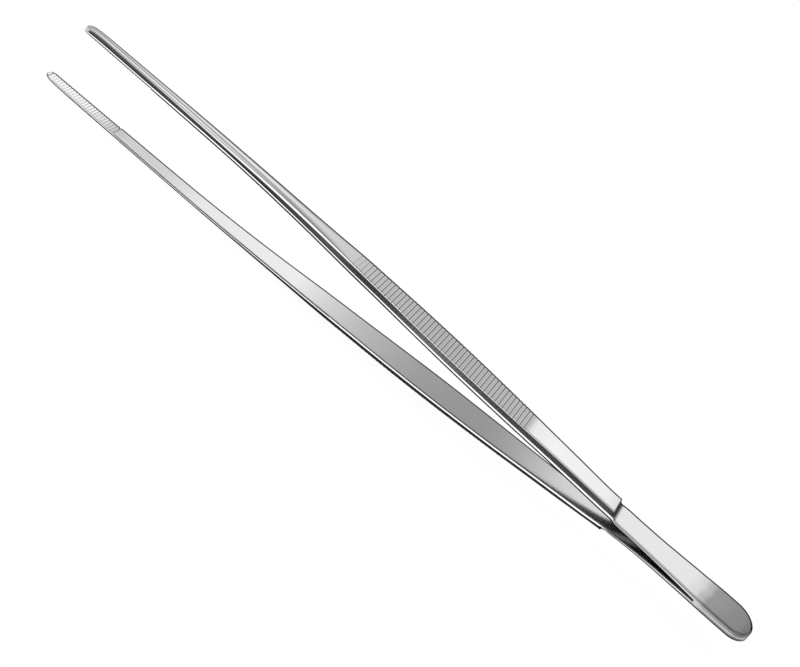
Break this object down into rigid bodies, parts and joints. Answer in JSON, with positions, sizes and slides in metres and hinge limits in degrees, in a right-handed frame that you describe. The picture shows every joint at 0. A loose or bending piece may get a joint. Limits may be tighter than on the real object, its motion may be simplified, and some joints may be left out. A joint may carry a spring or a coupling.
{
  "type": "aquascaping tweezers",
  "caption": "Long straight steel tweezers with serrated jaws, ribbed finger grips and a sprung butt that lets the two arms be squeezed together.",
  "frame": {"origin": "centre of the whole object's box, arms relaxed: halfway along its length, on its middle plane", "axes": "+X along the length from the tips to the butt, +Y across the width, +Z the way the upper arm opens"},
  "size_m": [0.3, 0.013, 0.0232],
  "materials": {
    "weld_steel": "weld bead ground flush and satin polished",
    "leaf_steel": "smooth satin polish",
    "handle_steel": "satin outer face, brighter bevels",
    "grip_steel": "ribbed and satin polished",
    "shank_steel": "fine polish, rounded back",
    "jaw_steel": "fine polish with milled cross teeth"
  },
  "bodies": {
    "butt": {"butt_weld": "weld_steel", "upper_tang": "leaf_steel", "lower_tang": "leaf_steel"},
    "upper_rear_spring": {"upper_leaf_rear": "leaf_steel"},
    "upper_front_spring": {"upper_leaf_front": "leaf_steel"},
    "upper_arm": {"upper_handle": "handle_steel", "upper_finger_grip": "grip_steel", "upper_shank": "shank_steel", "upper_jaw": "jaw_steel"},
    "lower_rear_spring": {"lower_leaf_rear": "leaf_steel"},
    "lower_front_spring": {"lower_leaf_front": "leaf_steel"},
    "lower_arm": {"lower_handle": "handle_steel", "lower_finger_grip": "grip_steel", "lower_shank": "shank_steel", "lower_jaw": "jaw_steel"}
  },
  "joints": [
    {"name": "upper_rear_bend", "type": "hinge", "parent": "butt", "child": "upper_rear_spring", "pos_m": [0.121, 0, 0.00081], "axis": [0, -1, 0], "range_deg": [0, 0.324]},
    {"name": "upper_middle_bend", "type": "hinge", "parent": "upper_rear_spring", "child": "upper_front_spring", "pos_m": [0.108, 0, 0.00111], "axis": [0, -1, 0], "range_deg": [0, 0.623]},
    {"name": "upper_arm_squeeze", "type": "hinge", "parent": "upper_front_spring", "child": "upper_arm", "pos_m": [0.095, 0, 0.00159], "axis": [0, -1, 0], "range_deg": [0, 1.25], "stiffness_Nm_per_rad": 4},
    {"name": "lower_rear_bend", "type": "hinge", "parent": "butt", "child": "lower_rear_spring", "pos_m": [0.121, 0, -0.00081], "axis": [0, 1, 0], "range_deg": [0, 0.324]},
    {"name": "lower_middle_bend", "type": "hinge", "parent": "lower_rear_spring", "child": "lower_front_spring", "pos_m": [0.108, 0, -0.00111], "axis": [0, 1, 0], "range_deg": [0, 0.623]},
    {"name": "lower_arm_squeeze", "type": "hinge", "parent": "lower_front_spring", "child": "lower_arm", "pos_m": [0.095, 0, -0.00159], "axis": [0, 1, 0], "range_deg": [0, 1.25], "stiffness_Nm_per_rad": 4}
  ],
  "couplings": [
    {"joint": "upper_rear_bend", "follows": "upper_arm_squeeze", "ratio": 0.26},
    {"joint": "upper_middle_bend", "follows": "upper_arm_squeeze", "ratio": 0.5},
    {"joint": "lower_rear_bend", "follows": "lower_arm_squeeze", "ratio": 0.26},
    {"joint": "lower_middle_bend", "follows": "lower_arm_squeeze", "ratio": 0.5}
  ]
}
